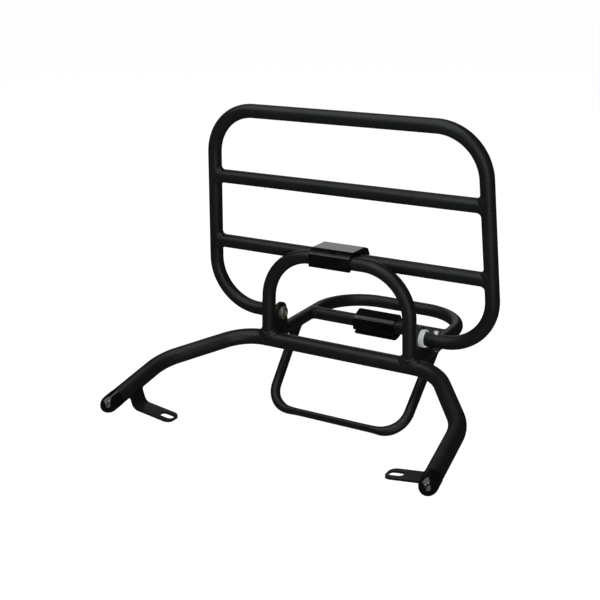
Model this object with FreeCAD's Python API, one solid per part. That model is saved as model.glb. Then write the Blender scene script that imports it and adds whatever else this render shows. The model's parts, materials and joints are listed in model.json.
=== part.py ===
import FreeCAD, Part
import math
import os
from FreeCAD import Vector

# Folding luggage rack for the back of a scooter, in millimetres.
# +X is to the right, +Y to the rear, +Z up. The layout below is written from the middle of the
# base tube's straight stretch; save() then moves every piece so that the origin lies midway
# between the two mounting slots, on the underside of the bracket tabs.

# Tube sizes
BASE_R = 9.5
FRAME_R = 8.0
LOWER_R = 6.0
WALL = 1.5

# Base tube: a straight stretch, then two arms that sweep forwards and down
ELBOW_X = 123.8
SHOULDER = Vector(185.9, -85.7, -16.5)
ARM_TIP = Vector(191.5, -176.3, -37.2)
ELBOW_BEND = 53.5
SHOULDER_BEND = 63.8
CAP_LENGTH = 12.0
CAP_DOME = 12.5
CAP_STEM = 15.0
CAP_LIP = 0.3

# Front hoop: an inverted U that stands on the base tube
HOOP_FOOT_X = 91.6
HOOP_TOP_X = 88.3
HOOP_HEIGHT = 108.8
HOOP_BEND = 56.9

# Rear hoop: a level U behind the base tube, with one crossbar
REAR_X = 92.4
REAR_Y = 186.1
REAR_BEND = 59.6
CROSSBAR_Y = 107.6

# Lower hoop: a thinner U that hangs forwards and down from the rear hoop
LOWER_ROOT_Y = 73.9
LOWER_ROOT_X = 92.4
LOWER_FOOT_X = 86.6
LOWER_DROP = 83.0
LOWER_BEND = 30.0
FLAT_THICK = 6.8
FLAT_WIDE = 15.4
PRESS_FULL = 46.0
PRESS_START = 76.0
PRESS_LAP = 1.0
PRESS_STEP = 0.02

# Carrier: the folding frame, a rounded rectangle open at the bottom, with two bars
HINGE_Y = 25.0
HINGE_Z = 25.7
CARRIER_TILT = -4.5
CARRIER_FOOT_X = 180.5
CARRIER_TOP_X = 163.8
CARRIER_HEIGHT = 242.8
CARRIER_BEND = 56.0
LOWER_BAR = 81.6
MIDDLE_BAR = 162.7

# Hinge hardware, measured outwards from the middle plane. Each side is given as the inner face
# of its lug and the end of the carrier's tube: the right-hand washer is the thicker one.
RIGHT_HINGE = (90.0, 100.0)
LEFT_HINGE = (88.0, 95.0)
LUG_THICK = 4.0
LUG_R = 12.5
LUG_FOOT_HALF = 15.0
SIDE_GAP = 0.2
WASHER_R = 10.0
PIVOT_R = 4.0
PIVOT_CLEARANCE = 0.05
PIVOT_HEAD_R = 7.5
PIVOT_HEAD_THICK = 4.8
PIVOT_END_X = 109.0
PLUG_END_X = 121.0
SCREW_X = 112.0
SCREW_R = 2.0
SCREW_HEAD_R = 3.3
SCREW_HEAD_THICK = 3.0
NUT_R = 3.8
NUT_THICK = 3.4

# Brackets: bent straps under the arms, with a slotted tab
SLOT_X = 141.4
SLOT_Y = -139.4
SLOT_Z = -56.6
SLOT_LENGTH = 17.0
SLOT_WIDTH = 10.0
STRAP_WIDE = 22.0
STRAP_THICK = 2.5
STRAP_RISE = 0.135
STRAP_END_X = 131.0
STRAP_CORNER = 8.0
STRAP_ROOT = Vector(185.5, SLOT_Y, -32.0)
STRAP_KNEE_X = 179.5
STRAP_BEND = 9.0

# Clips: two lengths of black extrusion
TOP_CLIP_SPAN = (-31.0, 20.2)
REAR_CLIP_SPAN = (-28.5, 25.5)
GRIP_OUTER_R = 10.0

UNDERSIDE = SLOT_Z - STRAP_THICK / 2 * math.hypot(1, STRAP_RISE)
ORIGIN = Vector(0, SLOT_Y, UNDERSIDE)
X_AXIS = Vector(1, 0, 0)
Z_AXIS = Vector(0, 0, 1)


def save(name, shape):
    """Write one piece, moved so that the origin is midway between the slots."""
    piece = shape.copy()
    piece.translate(ORIGIN * -1)
    piece.exportStep("parts/" + name + ".step")


def mirrored(shape):
    """The same piece on the left-hand side."""
    return shape.mirror(Vector(0, 0, 0), X_AXIS)


def save_pair(name, right):
    save(name + "_right", right)
    save(name + "_left", mirrored(right))


def flip(point):
    return Vector(-point.x, point.y, point.z)


def bent_wire(points, bends):
    """Straight runs through the points, joined by tangent arcs of the given radii."""
    edges = []
    start = points[0]
    for before, corner, after, bend in zip(points, points[1:], points[2:], bends):
        back = (before - corner).normalize()
        ahead = (after - corner).normalize()
        half_turn = (math.pi - back.getAngle(ahead)) / 2
        reach = bend * math.tan(half_turn)
        middle = (back + ahead).normalize() * bend * (1 / math.cos(half_turn) - 1)
        arc_start = corner + back * reach
        arc_end = corner + ahead * reach
        edges.append(Part.makeLine(start, arc_start))
        edges.append(Part.Arc(arc_start, corner + middle, arc_end).toShape())
        start = arc_end
    edges.append(Part.makeLine(start, points[-1]))
    return Part.Wire(edges)


def rod(wire, radius):
    """A solid round bar along a wire."""
    first = wire.Edges[0]
    start = first.valueAt(first.FirstParameter)
    along = first.tangentAt(first.FirstParameter)
    circle = Part.Wire([Part.makeCircle(radius, start, along)])
    return wire.makePipeShell([circle], True, False)


def straight_rod(start, end, radius):
    return Part.makeCylinder(radius, (end - start).Length, start, end - start)


def cross_rod(x_start, x_end, y, z, radius):
    """A round bar along X."""
    return straight_rod(Vector(x_start, y, z), Vector(x_end, y, z), radius)


# Base tube and its end caps


def arm_direction():
    return (ARM_TIP - SHOULDER).normalize()


def cap_seam():
    """Where the bare tube ends and the cap's head starts."""
    return ARM_TIP - arm_direction() * CAP_LENGTH


def base_wire():
    elbow = Vector(ELBOW_X, 0, 0)
    right = [elbow, SHOULDER, cap_seam()]
    left = [flip(point) for point in reversed(right)]
    return bent_wire(left + right, [SHOULDER_BEND, ELBOW_BEND, ELBOW_BEND, SHOULDER_BEND])


def end_cap():
    """A plug in the tube's end with a short sleeve-sized head and a domed nose."""
    along = arm_direction()
    head_r = BASE_R + CAP_LIP
    stem_start = cap_seam() - along * CAP_STEM
    stem = straight_rod(stem_start, cap_seam(), BASE_R - WALL)
    head = straight_rod(cap_seam(), ARM_TIP, head_r)
    dome = Part.makeSphere(head_r)
    stretch = FreeCAD.Matrix()
    stretch.scale(Vector(1, 1, CAP_DOME / head_r))
    dome = dome.transformGeometry(stretch)
    dome.Placement = FreeCAD.Placement(ARM_TIP, FreeCAD.Rotation(Z_AXIS, along))
    return stem.fuse([head, dome]).removeSplitter()


# Fixed hoops


def front_hoop_wire():
    foot = Vector(HOOP_FOOT_X, 0, 0)
    top = Vector(HOOP_TOP_X, 0, HOOP_HEIGHT)
    return bent_wire([flip(foot), flip(top), top, foot], [HOOP_BEND, HOOP_BEND])


def rear_hoop_wire():
    root = Vector(REAR_X, 0, 0)
    corner = Vector(REAR_X, REAR_Y, 0)
    return bent_wire([flip(root), flip(corner), corner, root], [REAR_BEND, REAR_BEND])


def lower_root():
    return Vector(LOWER_ROOT_X, LOWER_ROOT_Y, 0)


def lower_corner():
    return Vector(LOWER_FOOT_X, LOWER_ROOT_Y - LOWER_DROP, -LOWER_DROP)


def lower_turn():
    """The angle that the lower hoop's tube turns through at each corner."""
    return (lower_corner() - lower_root()).getAngle(X_AXIS * -1)


def lower_straight():
    """Half the length of the lower hoop's span between its bends."""
    return LOWER_FOOT_X - LOWER_BEND * math.tan(lower_turn() / 2)


def lower_station(along):
    """The span's middle line at a distance from its middle, and the direction into the hoop.

    Past the straight part the station lies on the bend. Negative distances are on the left."""
    distance = abs(along)
    turned = max(0.0, (distance - lower_straight()) / LOWER_BEND)
    inward = Vector(0, 1, 1).normalize()
    radial = inward * math.cos(turned) - X_AXIS * math.sin(turned)
    middle = lower_corner()
    middle.x = min(distance, lower_straight())
    centre = middle + inward * LOWER_BEND - radial * LOWER_BEND
    if along < 0:
        return flip(centre), flip(radial)
    return centre, radial


def pressed_section(along, flatness, shrink):
    """A section square to the tube: round at flatness 0, a flat oval at flatness 1."""
    shrink = shrink + PRESS_STEP
    thin = LOWER_R + flatness * (FLAT_THICK / 2 - LOWER_R) - shrink
    wide = LOWER_R + flatness * (FLAT_WIDE / 2 - LOWER_R) - shrink
    power = 1 - 0.45 * flatness
    across = Vector(0, -1, 1).normalize()
    centre, radial = lower_station(along)
    points = []
    count = 24
    for step in range(count):
        angle = 2 * math.pi * step / count
        c = math.cos(angle)
        s = math.sin(angle)
        u = math.copysign(abs(c) ** power, c) * wide
        v = s * thin
        points.append(centre + across * u - radial * v)
    curve = Part.BSplineCurve()
    curve.interpolate(points, True)
    return Part.Wire([curve.toShape()])


def pressed_span(shrink):
    """The middle of the lower hoop's span, pressed flat, with its two long transitions."""
    steps = 12
    places = [(-PRESS_START - PRESS_LAP, 0)]
    for step in range(steps + 1):
        share = step / steps
        flatness = share * share * (3 - 2 * share)
        places.append((-PRESS_START + (PRESS_START - PRESS_FULL) * share, flatness))
    places += [(-along, flatness) for along, flatness in reversed(places)]
    return Part.makeLoft([pressed_section(x, f, shrink) for x, f in places], True, True)


def lower_side(radius):
    """One leg of the lower hoop with its bend, down to where the pressing starts."""
    leg = (lower_root() - lower_corner()).normalize()
    bend_top = lower_corner() + leg * (LOWER_BEND * math.tan(lower_turn() / 2))
    bend_end = lower_straight() + LOWER_BEND * lower_turn()
    halfway = lower_station((PRESS_START + bend_end) / 2)[0]
    start = lower_station(PRESS_START)[0]
    arc = Part.Arc(bend_top, halfway, start).toShape()
    return rod(Part.Wire([Part.makeLine(lower_root(), bend_top), arc]), radius)


def lower_hoop(rear_solid):
    outer = lower_side(LOWER_R)
    outer = outer.fuse([mirrored(outer), pressed_span(0)])
    inner = lower_side(LOWER_R - WALL)
    inner = inner.fuse([mirrored(inner), pressed_span(WALL)])
    return outer.cut(inner).cut(rear_solid)


# Brackets


def on_strap(x):
    """The middle of the tab, which rises outwards from the slot."""
    return Vector(x, SLOT_Y, SLOT_Z + (x - SLOT_X) * STRAP_RISE)


def bracket(base_solid):
    """A strap from the arm's underside, bent inwards to a slotted tab."""
    knee = on_strap(STRAP_KNEE_X)
    wire = bent_wire([STRAP_ROOT, knee, on_strap(STRAP_END_X)], [STRAP_BEND])
    along = (knee - STRAP_ROOT).normalize()
    thick = along.cross(Vector(0, 1, 0)) * (STRAP_THICK / 2)
    wide = Vector(0, STRAP_WIDE / 2, 0)
    corners = [STRAP_ROOT + wide + thick, STRAP_ROOT - wide + thick,
               STRAP_ROOT - wide - thick, STRAP_ROOT + wide - thick]
    section = Part.makePolygon(corners + corners[:1])
    strap = wire.makePipeShell([section], True, False)
    strap = strap.cut(tab_trim()).cut(slot_tool())
    return strap.cut(base_solid)


def tab_trim():
    """What is taken off the tab's end to square it and round its two corners."""
    depth = 4 * STRAP_THICK
    low = SLOT_Z - depth / 2
    over = STRAP_THICK
    block = Part.makeBox(over + STRAP_CORNER, STRAP_WIDE, depth,
                         Vector(STRAP_END_X - over, SLOT_Y - STRAP_WIDE / 2, low))
    inset = STRAP_WIDE / 2 - STRAP_CORNER
    keep = []
    for side in (-1, 1):
        centre = Vector(STRAP_END_X + STRAP_CORNER, SLOT_Y + side * inset, low)
        keep.append(Part.makeCylinder(STRAP_CORNER, depth, centre))
    keep.append(Part.makeBox(STRAP_CORNER, 2 * inset, depth,
                             Vector(STRAP_END_X, SLOT_Y - inset, low)))
    return block.cut(keep[0].fuse(keep[1:]))


def slot_tool():
    depth = 4 * STRAP_THICK
    low = SLOT_Z - depth / 2
    half = (SLOT_LENGTH - SLOT_WIDTH) / 2
    ends = [Part.makeCylinder(SLOT_WIDTH / 2, depth, Vector(SLOT_X + side * half, SLOT_Y, low))
            for side in (-1, 1)]
    middle = Part.makeBox(2 * half, SLOT_WIDTH, depth,
                          Vector(SLOT_X - half, SLOT_Y - SLOT_WIDTH / 2, low))
    return middle.fuse(ends)


# Hinge


def hinge_lug(lug_in, rear_solid):
    """An upright plate on the rear hoop's side tube, with the pivot's hole."""
    eye = Part.makeCylinder(LUG_R, LUG_THICK, Vector(lug_in, HINGE_Y, HINGE_Z), X_AXIS)
    outline = [Vector(lug_in, HINGE_Y - LUG_FOOT_HALF, 0),
               Vector(lug_in, HINGE_Y - LUG_R, HINGE_Z),
               Vector(lug_in, HINGE_Y + LUG_R, HINGE_Z),
               Vector(lug_in, HINGE_Y + LUG_FOOT_HALF, 0)]
    foot = Part.Face(Part.makePolygon(outline + outline[:1])).extrude(X_AXIS * LUG_THICK)
    lug_out = lug_in + LUG_THICK
    hole = cross_rod(lug_in, lug_out, HINGE_Y, HINGE_Z, PIVOT_R + PIVOT_CLEARANCE)
    return foot.fuse(eye).removeSplitter().cut(hole).cut(rear_solid)


def pivot_bolt(lug_in):
    """A stepped round head inside the lug, and a shank that ends in the tube's plug."""
    head_face = lug_in - SIDE_GAP
    head = cross_rod(head_face - PIVOT_HEAD_THICK, head_face, HINGE_Y, HINGE_Z, PIVOT_HEAD_R)
    rim = [edge for edge in head.Edges if edge.BoundBox.XMax < head_face - PIVOT_HEAD_THICK / 2]
    head = head.makeChamfer(1.0, rim[:1])
    recess = cross_rod(head_face - PIVOT_HEAD_THICK, head_face - PIVOT_HEAD_THICK + 1.2,
                       HINGE_Y, HINGE_Z, PIVOT_HEAD_R / 2)
    shank = cross_rod(head_face - 1, PIVOT_END_X, HINGE_Y, HINGE_Z, PIVOT_R)
    return head.cut(recess).fuse(shank)


def spacer_washer(lug_in, tube_end):
    x_in = lug_in + LUG_THICK + SIDE_GAP
    disc = cross_rod(x_in, tube_end, HINGE_Y, HINGE_Z, WASHER_R)
    return disc.cut(cross_rod(x_in, tube_end, HINGE_Y, HINGE_Z, PIVOT_R))


def screw_hole():
    low = Vector(SCREW_X, HINGE_Y, HINGE_Z - 2 * FRAME_R)
    return straight_rod(low, low + Z_AXIS * (4 * FRAME_R), SCREW_R)


def pivot_plug(tube_end):
    plug = cross_rod(tube_end, PLUG_END_X, HINGE_Y, HINGE_Z, FRAME_R - WALL)
    bolt_way = cross_rod(tube_end, PIVOT_END_X, HINGE_Y, HINGE_Z, PIVOT_R)
    return plug.cut(bolt_way).cut(screw_hole())


def locking_screw():
    seat = Vector(SCREW_X, HINGE_Y, HINGE_Z + FRAME_R)
    head = Part.makeCylinder(SCREW_HEAD_R, SCREW_HEAD_THICK, seat)
    top = [edge for edge in head.Edges if edge.BoundBox.ZMin > seat.z + SCREW_HEAD_THICK / 2]
    head = head.makeFillet(1.2, top[:1])
    end = seat - Z_AXIS * (2 * FRAME_R + NUT_THICK + 1)
    return head.fuse(straight_rod(end, seat, SCREW_R))


def locking_nut():
    seat = Vector(SCREW_X, HINGE_Y, HINGE_Z - FRAME_R - NUT_THICK)
    corners = []
    for step in range(6):
        angle = math.radians(60 * step)
        corners.append(seat + Vector(math.cos(angle), math.sin(angle), 0) * NUT_R)
    nut = Part.Face(Part.makePolygon(corners + corners[:1])).extrude(Z_AXIS * NUT_THICK)
    return nut.cut(Part.makeCylinder(SCREW_R, NUT_THICK, seat))


# Carrier


def on_carrier(x, up):
    """A point on the carrier's plane, up from the hinge axis."""
    lean = math.radians(CARRIER_TILT)
    return Vector(x, HINGE_Y + up * math.sin(lean), HINGE_Z + up * math.cos(lean))


def carrier_half_width(up):
    return CARRIER_FOOT_X + (CARRIER_TOP_X - CARRIER_FOOT_X) * up / CARRIER_HEIGHT


def carrier_wire():
    corners = [on_carrier(CARRIER_TOP_X, CARRIER_HEIGHT), on_carrier(CARRIER_FOOT_X, 0)]
    right = corners + [on_carrier(RIGHT_HINGE[1], 0)]
    left = [on_carrier(-LEFT_HINGE[1], 0)] + [flip(point) for point in reversed(corners)]
    return bent_wire(left + right, [CARRIER_BEND] * 4)


def carrier_bar(up, carrier_solid):
    half = carrier_half_width(up)
    outer = straight_rod(on_carrier(-half, up), on_carrier(half, up), FRAME_R)
    inner = straight_rod(on_carrier(-half, up), on_carrier(half, up), FRAME_R - WALL)
    return outer.cut(inner).cut(carrier_solid)


# Clips


def clip_prism(outline, span):
    """An outline of (y, z) points, extruded over the clip's length."""
    points = [Vector(span[0], y, z) for y, z in outline]
    face = Part.Face(Part.makePolygon(points + points[:1]))
    return face.extrude(X_AXIS * (span[1] - span[0]))


def rounded(prism, radius):
    """Round the prism's long edges."""
    length = prism.BoundBox.XLength
    edges = [edge for edge in prism.Edges if abs(edge.BoundBox.XLength - length) < 0.01]
    return prism.makeFillet(radius, edges)


def top_clip():
    """Grips the front hoop from the front and hooks over the carrier's lower bar."""
    span = TOP_CLIP_SPAN
    outer = [(-10.2, -8.4), (-10.2, 7.2), (-1.0, 12.7), (28.0, 12.1), (37.2, 8.6), (42.6, 0.0),
             (40.2, -0.6), (35.4, 6.4), (27.6, 8.4), (10.6, 8.4), (6.0, 0.0), (0.0, -8.4)]
    body = rounded(clip_prism(outer, span), 0.9)
    grip = cross_rod(*span, 0, 0, GRIP_OUTER_R)
    grip = grip.common(clip_prism([(-12, -7), (-12, 12), (12, 12), (12, -4)], span))
    bore = cross_rod(*span, 0, 0, FRAME_R + PIVOT_CLEARANCE)
    mouth = clip_prism([(-7.6, -12), (-3.0, -2), (3.0, -2), (12, -6), (12, -12)], span)
    clip = body.fuse(grip).cut(bore).cut(mouth)
    clip.translate(Vector(0, 0, HOOP_HEIGHT))
    return clip


def rear_clip():
    """Snaps on the rear crossbar; its sloping top carries the folded carrier's lower bar."""
    span = REAR_CLIP_SPAN
    outer = [(-10.2, -7.0), (-10.2, 2.4), (-8.8, 5.6), (-5.4, 8.8), (7.0, 13.4), (12.5, 12.0),
             (18.5, 4.0), (19.0, -8.0), (13.0, -15.6), (4.0, -17.4), (-3.0, -16.8), (-6.4, -12.6)]
    chamber = [(11.5, 6.5), (16.0, 1.5), (16.4, -7.0), (11.8, -12.8), (4.2, -14.6), (-1.6, -14.2),
               (-2.6, -10.6), (6.0, -9.6), (11.0, -4.0)]
    body = rounded(clip_prism(outer, span), 0.9)
    mouth = clip_prism([(-9.2, -10.4), (-6.0, -5.2), (-1.0, -6.0), (-2.2, -12.0), (-5.6, -13.0),
                        (-12.0, -12.6)], span)
    clip = body.cut(rounded(clip_prism(chamber, span), 0.6)).cut(mouth)
    clip = clip.cut(cross_rod(*span, 0, 0, FRAME_R))
    clip.translate(Vector(0, CROSSBAR_Y, 0))
    return clip


def build():
    os.makedirs("parts", exist_ok=True)
    base_solid = rod(base_wire(), BASE_R)
    front_solid = rod(front_hoop_wire(), FRAME_R)
    rear_solid = rod(rear_hoop_wire(), FRAME_R)
    carrier_solid = rod(carrier_wire(), FRAME_R)

    save("base_tube", base_solid.cut(rod(base_wire(), BASE_R - WALL)))
    front_bore = rod(front_hoop_wire(), FRAME_R - WALL)
    save("front_hoop", front_solid.cut(front_bore).cut(base_solid).cut(rear_solid))
    rear_bore = rod(rear_hoop_wire(), FRAME_R - WALL)
    save("rear_hoop", rear_solid.cut(rear_bore).cut(base_solid))
    crossbar = cross_rod(-REAR_X, REAR_X, CROSSBAR_Y, 0, FRAME_R)
    crossbar = crossbar.cut(cross_rod(-REAR_X, REAR_X, CROSSBAR_Y, 0, FRAME_R - WALL))
    save("rear_crossbar", crossbar.cut(rear_solid))
    save("lower_hoop", lower_hoop(rear_solid))
    save_pair("end_cap", end_cap())
    save_pair("bracket", bracket(base_solid))
    save("hinge_lug_right", hinge_lug(RIGHT_HINGE[0], rear_solid))
    save("hinge_lug_left", mirrored(hinge_lug(LEFT_HINGE[0], rear_solid)))
    save("rear_clip", rear_clip())

    save("top_clip", top_clip())

    carrier_bore = rod(carrier_wire(), FRAME_R - WALL)
    cross_holes = screw_hole().fuse(mirrored(screw_hole()))
    save("carrier_tube", carrier_solid.cut(carrier_bore).cut(cross_holes))
    save("lower_bar", carrier_bar(LOWER_BAR, carrier_solid))
    save("middle_bar", carrier_bar(MIDDLE_BAR, carrier_solid))
    save("pivot_plug_right", pivot_plug(RIGHT_HINGE[1]))
    save("pivot_plug_left", mirrored(pivot_plug(LEFT_HINGE[1])))
    save("pivot_bolt_right", pivot_bolt(RIGHT_HINGE[0]))
    save("pivot_bolt_left", mirrored(pivot_bolt(LEFT_HINGE[0])))
    save("spacer_washer_right", spacer_washer(*RIGHT_HINGE))
    save("spacer_washer_left", mirrored(spacer_washer(*LEFT_HINGE)))
    save_pair("locking_screw", locking_screw())
    save_pair("locking_nut", locking_nut())


build()
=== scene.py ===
import json
import math

import bmesh
import bpy
from mathutils import Matrix, Vector
from mathutils.noise import noise


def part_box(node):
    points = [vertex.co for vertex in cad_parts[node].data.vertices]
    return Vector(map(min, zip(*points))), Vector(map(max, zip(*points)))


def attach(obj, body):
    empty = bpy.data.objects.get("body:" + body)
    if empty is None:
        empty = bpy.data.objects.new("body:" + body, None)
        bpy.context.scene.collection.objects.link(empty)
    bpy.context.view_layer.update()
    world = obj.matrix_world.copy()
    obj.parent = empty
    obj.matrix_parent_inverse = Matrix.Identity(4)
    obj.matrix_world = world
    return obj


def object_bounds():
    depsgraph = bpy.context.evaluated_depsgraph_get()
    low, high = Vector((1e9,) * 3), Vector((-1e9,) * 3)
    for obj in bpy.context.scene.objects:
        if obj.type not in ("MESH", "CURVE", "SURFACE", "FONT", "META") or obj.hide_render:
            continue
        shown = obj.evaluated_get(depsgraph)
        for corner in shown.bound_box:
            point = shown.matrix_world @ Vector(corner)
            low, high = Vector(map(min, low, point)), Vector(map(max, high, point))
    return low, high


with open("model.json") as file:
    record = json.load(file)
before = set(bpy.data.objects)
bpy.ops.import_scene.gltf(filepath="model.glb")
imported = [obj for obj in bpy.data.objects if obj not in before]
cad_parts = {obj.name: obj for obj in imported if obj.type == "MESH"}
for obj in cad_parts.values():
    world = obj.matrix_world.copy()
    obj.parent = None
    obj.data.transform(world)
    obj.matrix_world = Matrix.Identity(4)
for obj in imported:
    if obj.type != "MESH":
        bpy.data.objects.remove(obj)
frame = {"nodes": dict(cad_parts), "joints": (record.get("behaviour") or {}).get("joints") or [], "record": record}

CAD_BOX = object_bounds()
MM = 0.001
X_AXIS = Vector((1, 0, 0))
Y_AXIS = Vector((0, 1, 0))
Z_AXIS = Vector((0, 0, 1))

# Tube sizes of the CAD model
BASE_R = 9.5 * MM
FRAME_R = 8.0 * MM
LOWER_R = 6.0 * MM

# The CAD model's places, in millimetres from the middle of the base tube, and its directions, both
# for the side where X is positive
LOWER_ROOT = (92.4, 73.9, 0)
LOWER_ROOT_WAY = (-5.8, -83, -83)
ARM_WAY = (5.6, -90.6, -20.7)
STRAP_MIDDLE = (184, -139.4, -36.9)
STRAP_DOWN = (-0.294, 0, -0.956)
STRAP_FACE = (0.956, 0, -0.294)
STRAP_ARM_SIDE = (0.84, 0, -0.54)
STRAP_HALF_THICK = 1.25 * MM
STRAP_WELD_HALF = 10.6 * MM
LUG_FOOT_HALF = 13.6 * MM

# Leg lengths of the welds
HOOP_FOOT_LEG = 5.0 * MM
REAR_ROOT_LEG = 3.6 * MM
LOWER_ROOT_LEG = 2.6 * MM
CROSSBAR_LEG = 3.4 * MM
CARRIER_BAR_LEG = 3.8 * MM
LUG_LEG = 2.8 * MM
STRAP_LEG = 2.4 * MM

# How a weld's face looks: sag between its legs, pitch of its pass marks and how uneven it is
WELD_STEPS = 6
WELD_SAG = 0.30
MARK_PITCH = 1.7 * MM
MARK_DEPTH = 0.05
UNEVENNESS = 0.16
LINE_WELD_STEP = 0.5 * MM

# Turned rings on a bolt's head
RING_RADII = (4.5 * MM, 5.9 * MM)
RING_HEIGHT = 0.28 * MM
RING_HALF_WIDE = 0.38 * MM

# Camera: where it stands, seen from the middle of the base tube
VIEW_AZIMUTH = math.radians(29.86)
VIEW_ELEVATION = math.radians(18.66)
VIEW_ROLL = math.radians(-0.38)
VIEW_DISTANCE = 1216.1 * MM
VIEW_TARGET = Vector((-48.17, 0, 55.0)) * MM
LENS = 62.99
SENSOR = 36.0

# Lights: name, azimuth, elevation, distance, width and height in metres, power in watts
LIGHTS = (
    ("overhead", -40, 68, 1.7, 2.0, 2.0, 26.0),
    ("front", 36, 8, 2.0, 1.6, 2.0, 17.0),
    ("back_panel", 208, 20, 2.2, 1.5, 0.9, 3.2),
    ("strip_left", -6, 36, 1.7, 0.05, 1.0, 3.5),
    ("strip_right", 36, 56, 1.7, 0.05, 0.9, 3.5),
)


# Places read from the frame


def low(node):
    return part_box(node)[0]


def high(node):
    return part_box(node)[1]


def middle(node):
    return (low(node) + high(node)) / 2


def joint(name):
    return next(j for j in frame["joints"] if j["name"] == name)


BASE_MID = Vector((0, high("base_tube").y - BASE_R, high("base_tube").z - BASE_R))
HINGE = Vector(joint("carrier_fold")["pos_m"])


def at(x, y, z):
    """A point in millimetres from the middle of the base tube's straight stretch."""
    return BASE_MID + Vector((x, y, z)) * MM


# Materials


class Graph:
    """A new material and short calls that add and link its nodes."""

    def __init__(self, name):
        self.material = bpy.data.materials.new(name)
        self.material.use_nodes = True
        self.tree = self.material.node_tree
        self.tree.nodes.clear()
        self.output = self.add("ShaderNodeOutputMaterial")
        self.shader = self.add("ShaderNodeBsdfPrincipled")
        self.link(self.shader, "BSDF", self.output, "Surface")
        self.coords = self.add("ShaderNodeTexCoord")

    def add(self, kind, **settings):
        node = self.tree.nodes.new(kind)
        for key, value in settings.items():
            setattr(node, key, value)
        return node

    def link(self, source, out, target, into):
        self.tree.links.new(source.outputs[out], target.inputs[into])

    def noise(self, scale, detail=2.0, roughness=0.5, distortion=0.0):
        node = self.add("ShaderNodeTexNoise")
        node.inputs["Scale"].default_value = scale
        node.inputs["Detail"].default_value = detail
        node.inputs["Roughness"].default_value = roughness
        node.inputs["Distortion"].default_value = distortion
        self.link(self.coords, "Object", node, "Vector")
        return node

    def ramp(self, source, out, stops):
        node = self.add("ShaderNodeValToRGB")
        elements = node.color_ramp.elements
        while len(elements) < len(stops):
            elements.new(0.5)
        for element, (place, value) in zip(elements, stops):
            element.position = place
            element.color = value if len(value) == 4 else (*value, 1.0)
        self.link(source, out, node, "Fac")
        return node

    def range(self, source, out, low_in, high_in, low_out, high_out):
        node = self.add("ShaderNodeMapRange")
        node.inputs["From Min"].default_value = low_in
        node.inputs["From Max"].default_value = high_in
        node.inputs["To Min"].default_value = low_out
        node.inputs["To Max"].default_value = high_out
        self.link(source, out, node, "Value")
        return node

    def bump(self, source, out, distance, strength=1.0, under=None):
        node = self.add("ShaderNodeBump")
        node.inputs["Strength"].default_value = strength
        node.inputs["Distance"].default_value = distance
        self.link(source, out, node, "Height")
        if under:
            self.link(under, "Normal", node, "Normal")
        return node


def grey(value):
    return (value, value, value)


def powder_coat():
    """Satin black powder coat: orange peel, fine grains and slightly uneven colour and sheen."""
    g = Graph("powder_coat")
    cloud = g.noise(38.0, 3.0, 0.55)
    tint = g.ramp(cloud, "Fac", [(0.3, (0.0042, 0.0050, 0.0044)), (0.7, (0.0064, 0.0075, 0.0066))])
    g.link(tint, "Color", g.shader, "Base Color")
    sheen = g.noise(120.0, 4.0, 0.6)
    rough = g.range(sheen, "Fac", 0.3, 0.7, 0.34, 0.44)
    g.link(rough, "Result", g.shader, "Roughness")
    peel = g.noise(620.0, 2.0, 0.5)
    grain = g.noise(2600.0, 1.0, 0.5)
    peel_bump = g.bump(peel, "Fac", 0.00022, 0.35)
    grain_bump = g.bump(grain, "Fac", 0.00005, 0.3, peel_bump)
    g.link(grain_bump, "Normal", g.shader, "Normal")
    g.shader.inputs["Specular IOR Level"].default_value = 0.24
    g.shader.inputs["Specular Tint"].default_value = (0.94, 1.0, 0.95, 1.0)
    return g.material


def gloss_black():
    """Glossy black plastic with an uneven sheen and a faint ripple."""
    g = Graph("gloss_black")
    cloud = g.noise(60.0, 2.0, 0.5)
    dark = (0.0010, 0.0012, 0.0011)
    light = (0.0024, 0.0027, 0.0025)
    tint = g.ramp(cloud, "Fac", [(0.35, dark), (0.65, light)])
    g.link(tint, "Color", g.shader, "Base Color")
    smear = g.noise(170.0, 4.0, 0.65, 0.6)
    rough = g.range(smear, "Fac", 0.35, 0.75, 0.09, 0.2)
    g.link(rough, "Result", g.shader, "Roughness")
    ripple = g.noise(210.0, 2.0, 0.5)
    bump = g.bump(ripple, "Fac", 0.00025, 0.1)
    g.link(bump, "Normal", g.shader, "Normal")
    g.shader.inputs["Specular IOR Level"].default_value = 0.5
    return g.material


def zinc(name, dull, bright):
    """Zinc plating with a fine grain and patches between two colours."""
    g = Graph(name)
    cloud = g.noise(260.0, 3.0, 0.6)
    tint = g.ramp(cloud, "Fac", [(0.3, dull), (0.7, bright)])
    g.link(tint, "Color", g.shader, "Base Color")
    rough = g.range(cloud, "Fac", 0.3, 0.7, 0.42, 0.24)
    g.link(rough, "Result", g.shader, "Roughness")
    marks = g.noise(1500.0, 2.0, 0.6)
    bump = g.bump(marks, "Fac", 0.00008, 0.4)
    g.link(bump, "Normal", g.shader, "Normal")
    g.shader.inputs["Metallic"].default_value = 0.75
    return g.material


def nylon():
    """Off-white moulded nylon, slightly cloudy."""
    g = Graph("nylon")
    cloud = g.noise(190.0, 3.0, 0.6)
    tint = g.ramp(cloud, "Fac", [(0.3, (0.76, 0.80, 0.79)), (0.7, (0.86, 0.89, 0.88))])
    g.link(tint, "Color", g.shader, "Base Color")
    rough = g.range(cloud, "Fac", 0.3, 0.7, 0.42, 0.55)
    g.link(rough, "Result", g.shader, "Roughness")
    bump = g.bump(g.noise(900.0, 2.0, 0.5), "Fac", 0.0001, 0.3)
    g.link(bump, "Normal", g.shader, "Normal")
    g.shader.inputs["Subsurface Weight"].default_value = 0.15
    g.shader.inputs["Subsurface Radius"].default_value = (0.002, 0.002, 0.002)
    return g.material


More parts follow.
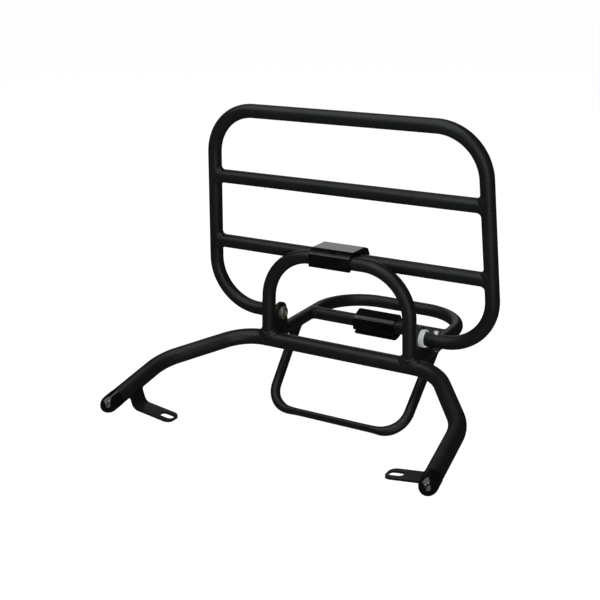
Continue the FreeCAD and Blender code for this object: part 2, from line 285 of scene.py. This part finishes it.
POWDER = powder_coat()
GLOSS = gloss_black()
ZINC = zinc("zinc", (0.74, 0.72, 0.64), (0.88, 0.87, 0.82))
OLIVE_ZINC = zinc("olive_zinc", (0.26, 0.25, 0.19), (0.36, 0.35, 0.28))
DARK_ZINC = zinc("dark_zinc", (0.05, 0.05, 0.045), (0.10, 0.10, 0.09))
NYLON = nylon()

FINISH = {"powder_black": POWDER, "gloss_black": GLOSS, "zinc_steel": ZINC, "white_nylon": NYLON}

# Plated pieces given darker zinc colours than the rest
DARKER_PLATING = {"pivot_bolt": OLIVE_ZINC, "locking_nut": DARK_ZINC}


def dress_frame():
    """Give every CAD node the finish that the record names for it, or the darker zinc listed for it."""
    slots = {part["node"]: part["material_slot"] for part in frame["record"]["subparts"]}
    for name, node in frame["nodes"].items():
        for slot in node.material_slots:
            slot.material = DARKER_PLATING.get(name.rsplit("_", 1)[0], FINISH[slots[name]])


# Mesh helpers


def new_piece(name, mesh_builder, material, body):
    """Make a mesh object from a bmesh that the builder fills, smooth it and let it ride."""
    bm = bmesh.new()
    mesh_builder(bm)
    bmesh.ops.recalc_face_normals(bm, faces=bm.faces)
    mesh = bpy.data.meshes.new(name)
    bm.to_mesh(mesh)
    bm.free()
    for face in mesh.polygons:
        face.use_smooth = True
    piece = bpy.data.objects.new(name, mesh)
    bpy.context.scene.collection.objects.link(piece)
    mesh.materials.append(material)
    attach(piece, body)
    return piece


def ripple_size(travelled, point, seed):
    """How thick a weld is at a place along it, as a share: pass marks and slow unevenness."""
    marks = math.sin(travelled / MARK_PITCH * 2 * math.pi + 1.4 * noise(point * 260))
    return 1 + MARK_DEPTH * marks + UNEVENNESS * noise(point * 90 + Vector((seed, 0, 0)))


def fillet_mesh(bm, seams, closed):
    """Skin the rings of a weld. Each seam is a list of the points of one cross-section."""
    rings = [[bm.verts.new(point) for point in seam] for seam in seams]
    count = len(rings)
    around = len(rings[0])
    for i in range(count if closed else count - 1):
        a = rings[i]
        b = rings[(i + 1) % count]
        for k in range(around):
            n = (k + 1) % around
            bm.faces.new((a[k], a[n], b[n], b[k]))
    if not closed:
        bm.faces.new(rings[0])
        bm.faces.new(rings[-1])


def fillet_section(corner, first_leg, second_leg, first_under, second_under):
    """A weld's cross-section: a face from leg to leg, a little hollow, closed inside the metal."""
    face = []
    for i in range(WELD_STEPS + 1):
        t = i / WELD_STEPS
        flat = first_leg.lerp(second_leg, t)
        sag = WELD_SAG * 4 * t * (1 - t)
        face.append(flat.lerp(corner, sag))
    return [first_under] + face + [second_under]


def saddle_weld(end, away, radius, main_point, main_along, main_radius, size, seed, count=120):
    """The weld where a round branch meets the outside of a round main tube."""
    away = away.normalized()
    main_along = main_along.normalized()
    first = away.orthogonal().normalized()
    second = away.cross(first)
    seams = []
    travelled = 0.0
    previous = None
    for i in range(count):
        angle = 2 * math.pi * i / count
        spoke = first * math.cos(angle) + second * math.sin(angle)
        start = end + spoke * radius - main_point
        flat_start = start - main_along * start.dot(main_along)
        flat_away = away - main_along * away.dot(main_along)
        a = flat_away.length_squared
        b = flat_start.dot(flat_away)
        c = flat_start.length_squared - main_radius ** 2
        travel = (-b + math.sqrt(max(b * b - a * c, 0.0))) / a
        corner = end + spoke * radius + away * travel
        from_main = corner - main_point
        normal = (from_main - main_along * from_main.dot(main_along)).normalized()
        if previous is not None:
            travelled += (corner - previous).length
        previous = corner
        leg = size * ripple_size(travelled, corner, seed)
        out = (spoke - normal * spoke.dot(normal)).normalized()
        on_main = corner + out * leg - main_point
        along_part = main_along * on_main.dot(main_along)
        on_main = main_point + along_part + (on_main - along_part).normalized() * main_radius
        on_branch = corner + away * leg
        seams.append(fillet_section(corner, on_branch, on_main, corner - spoke * MM,
                                    corner - normal * MM))
    return seams


def weld_round(name, body, end, away, radius, main_point, main_along, main_radius, size, seed):
    seams = saddle_weld(end, away, radius, main_point, main_along, main_radius, size, seed)
    return new_piece(name, lambda bm: fillet_mesh(bm, seams, True), POWDER, body)


def line_weld(name, body, start, end, first_way, second_way, size, seed):
    """A straight fillet weld between two surfaces that lead away along the two ways."""
    count = max(12, int((end - start).length / LINE_WELD_STEP))
    under = (first_way + second_way) * (-0.6 * MM)
    seams = []
    for i in range(count):
        corner = start.lerp(end, i / (count - 1))
        taper = min(1.0, 0.45 + 0.2 * min(i, count - 1 - i))
        leg = size * taper * ripple_size((corner - start).length, corner, seed)
        seams.append(fillet_section(corner, corner + first_way * leg, corner + second_way * leg,
                                    corner + under, corner + under * 0.9))
    return new_piece(name, lambda bm: fillet_mesh(bm, seams, False), POWDER, body)


def ridge_ring(bm, centre, radius, height, thick):
    """A low round ridge on a face square to X."""
    around = 64
    across = 8
    rings = []
    for i in range(around):
        a = 2 * math.pi * i / around
        spoke = Vector((0, math.cos(a), math.sin(a)))
        ring = []
        for k in range(across):
            b = 2 * math.pi * k / across
            ring.append(bm.verts.new(centre + spoke * (radius + thick * math.cos(b))
                                     + X_AXIS * height * math.sin(b)))
        rings.append(ring)
    for i in range(around):
        a = rings[i]
        b = rings[(i + 1) % around]
        for k in range(across):
            n = (k + 1) % across
            bm.faces.new((a[k], a[n], b[n], b[k]))


# Welds


def side_name(side):
    return "right" if side > 0 else "left"


def on_side(side, vector):
    """A vector given for the right side, mirrored for the left."""
    x, y, z = vector
    return Vector((side * x, y, z))


def frame_welds():
    """The beads at the feet and roots of the three hoops and at the crossbar's ends."""
    foot_x = high("front_hoop").x - FRAME_R
    rear_x = high("rear_crossbar").x
    rear_axis_x = high("rear_hoop").x - FRAME_R
    cross = middle("rear_crossbar")
    for side in (-1, 1):
        tag = side_name(side)
        foot = Vector((side * foot_x, BASE_MID.y, BASE_MID.z))
        weld_round("weld_hoop_foot_" + tag, "base", foot, Z_AXIS, FRAME_R, BASE_MID, X_AXIS,
                   BASE_R, HOOP_FOOT_LEG, 11 + side)
        root = Vector((side * rear_axis_x, BASE_MID.y, BASE_MID.z))
        weld_round("weld_rear_root_" + tag, "base", root, Y_AXIS, FRAME_R, BASE_MID, X_AXIS,
                   BASE_R, REAR_ROOT_LEG, 21 + side)
        side_tube = Vector((side * rear_axis_x, 0, cross.z))
        weld_round("weld_lower_root_" + tag, "base", at(*on_side(side, LOWER_ROOT)),
                   on_side(side, LOWER_ROOT_WAY), LOWER_R, side_tube, Y_AXIS, FRAME_R,
                   LOWER_ROOT_LEG, 51 + side)
        bar_end = Vector((side * rear_x, cross.y, cross.z))
        weld_round("weld_crossbar_" + tag, "base", bar_end, -side * X_AXIS, FRAME_R,
                   side_tube, Y_AXIS, FRAME_R, CROSSBAR_LEG, 31 + side)


def carrier_welds():
    """The beads at the ends of the carrier's two bars, which reach to the side tubes' axes."""
    for bar in ("lower_bar", "middle_bar"):
        for side in (-1, 1):
            tip = Vector((side * high(bar).x, middle(bar).y, middle(bar).z))
            weld_round("weld_" + bar + "_" + side_name(side), "carrier", tip, -side * X_AXIS,
                       FRAME_R, tip, carrier_side_direction(side), FRAME_R, CARRIER_BAR_LEG,
                       41 + side)


def carrier_side_direction(side):
    """Up along the carrier's side tube, from the ends of its two bars."""
    lower = middle("lower_bar")
    upper = middle("middle_bar")
    lower.x = side * high("lower_bar").x
    upper.x = side * high("middle_bar").x
    return (upper - lower).normalized()


def lug_welds():
    """Straight fillets along both faces of each hinge lug's foot."""
    tube_x = high("rear_hoop").x - FRAME_R
    for side in (-1, 1):
        lug = "hinge_lug_" + side_name(side)
        inner, outer = sorted((low(lug).x, high(lug).x), key=abs)
        for face_x, way, tag in ((inner, -side, "_in"), (outer, side, "_out")):
            off = face_x - side * tube_x
            z = BASE_MID.z + math.sqrt(FRAME_R ** 2 - off ** 2)
            start = Vector((face_x, HINGE.y - LUG_FOOT_HALF, z))
            end = Vector((face_x, HINGE.y + LUG_FOOT_HALF, z))
            line_weld("weld_lug" + tag + "_" + side_name(side), "base", start, end, Z_AXIS,
                      Vector((way, 0, -0.25)), LUG_LEG, 61 + side)


def strap_welds():
    """Straight fillets where each strap leaves the underside of its arm."""
    for side in (-1, 1):
        reach = on_side(side, ARM_WAY).normalized() * STRAP_WELD_HALF
        face = on_side(side, STRAP_FACE)
        for way, tag in ((-1, "_in"), (1, "_out")):
            corner = at(*on_side(side, STRAP_MIDDLE)) + face * (way * STRAP_HALF_THICK)
            line_weld("weld_strap" + tag + "_" + side_name(side), "base", corner - reach,
                      corner + reach, on_side(side, STRAP_DOWN),
                      on_side(side, STRAP_ARM_SIDE) * way, STRAP_LEG, 71 + side)


def bolt_rings():
    """Turned rings on the face of each pivot bolt's head, coloured dark zinc as painted shade along the rings."""
    for side in (-1, 1):
        bolt = "pivot_bolt_" + side_name(side)
        face_x = min((low(bolt).x, high(bolt).x), key=abs)
        centre = Vector((face_x, HINGE.y, HINGE.z))
        for count, radius in enumerate(RING_RADII):
            # the dark zinc on these rings is painted shade, drawing the dark lines of the turned face
            new_piece("bolt_ring_%d_%s" % (count, side_name(side)),
                      lambda bm, r=radius: ridge_ring(bm, centre, r, RING_HEIGHT, RING_HALF_WIDE),
                      DARK_ZINC, "carrier")


# Studio


def stage_floor():
    """A plain floor just under the rack's lowest point, kept white mostly by its own light."""
    g = Graph("floor")
    mottle = g.noise(3.0, 2.0, 0.5)
    tint = g.ramp(mottle, "Fac", [(0.3, grey(0.14)), (0.7, grey(0.15))])
    g.link(tint, "Color", g.shader, "Base Color")
    g.shader.inputs["Roughness"].default_value = 0.9
    g.shader.inputs["Specular IOR Level"].default_value = 0.0
    g.shader.inputs["Emission Color"].default_value = (1, 1, 1, 1)
    g.shader.inputs["Emission Strength"].default_value = 0.985
    reach = 30.0
    mesh = bpy.data.meshes.new("floor")
    z = CAD_BOX[0][2] - 0.3 * MM
    corners = [(-reach, -reach, z), (reach, -reach, z), (reach, reach, z), (-reach, reach, z)]
    mesh.from_pydata(corners, [], [(0, 1, 2, 3)])
    mesh.materials.append(g.material)
    floor = bpy.data.objects.new("floor", mesh)
    bpy.context.scene.collection.objects.link(floor)
    floor.visible_glossy = False


def area_light(name, place, aim, size_x, size_y, power):
    data = bpy.data.lights.new(name, "AREA")
    data.shape = "RECTANGLE"
    data.size = size_x
    data.size_y = size_y
    data.energy = power
    light = bpy.data.objects.new(name, data)
    bpy.context.scene.collection.objects.link(light)
    light.location = place
    light.rotation_euler = (aim - place).to_track_quat("-Z", "Y").to_euler()
    return light


def towards_light(azimuth, elevation, distance):
    """A step from the rack to a light, by azimuth (0 in front, positive to +X) and elevation."""
    a = math.radians(azimuth)
    e = math.radians(elevation)
    return Vector((math.sin(a) * math.cos(e), -math.cos(a) * math.cos(e), math.sin(e))) * distance


def studio():
    world = bpy.data.worlds.new("studio")
    bpy.context.scene.world = world
    world.use_nodes = True
    background = world.node_tree.nodes["Background"]
    background.inputs["Color"].default_value = (1, 1, 1, 1)
    background.inputs["Strength"].default_value = 0.03
    aim = BASE_MID + Vector((0, 0, 60 * MM))
    for name, azimuth, elevation, distance, size_x, size_y, power in LIGHTS:
        place = aim + towards_light(azimuth, elevation, distance)
        area_light(name, place, aim, size_x, size_y, power)


def camera():
    a = VIEW_AZIMUTH
    e = VIEW_ELEVATION
    back = Vector((math.sin(a) * math.cos(e), -math.cos(a) * math.cos(e), math.sin(e)))
    right = Z_AXIS.cross(back).normalized()
    up = back.cross(right)
    turn = Matrix.Rotation(VIEW_ROLL, 3, back)
    right = turn @ right
    up = turn @ up
    data = bpy.data.cameras.new("camera")
    data.lens = LENS
    data.sensor_width = SENSOR
    data.clip_end = 100.0
    view = bpy.data.objects.new("camera", data)
    bpy.context.scene.collection.objects.link(view)
    place = Matrix((right, up, back)).transposed().to_4x4()
    place.translation = BASE_MID + VIEW_TARGET + back * VIEW_DISTANCE
    view.matrix_world = place
    bpy.context.scene.camera = view


bpy.context.scene.view_settings.view_transform = "Standard"
dress_frame()
frame_welds()
carrier_welds()
lug_welds()
strap_welds()
bolt_rings()
stage_floor()
studio()
camera()
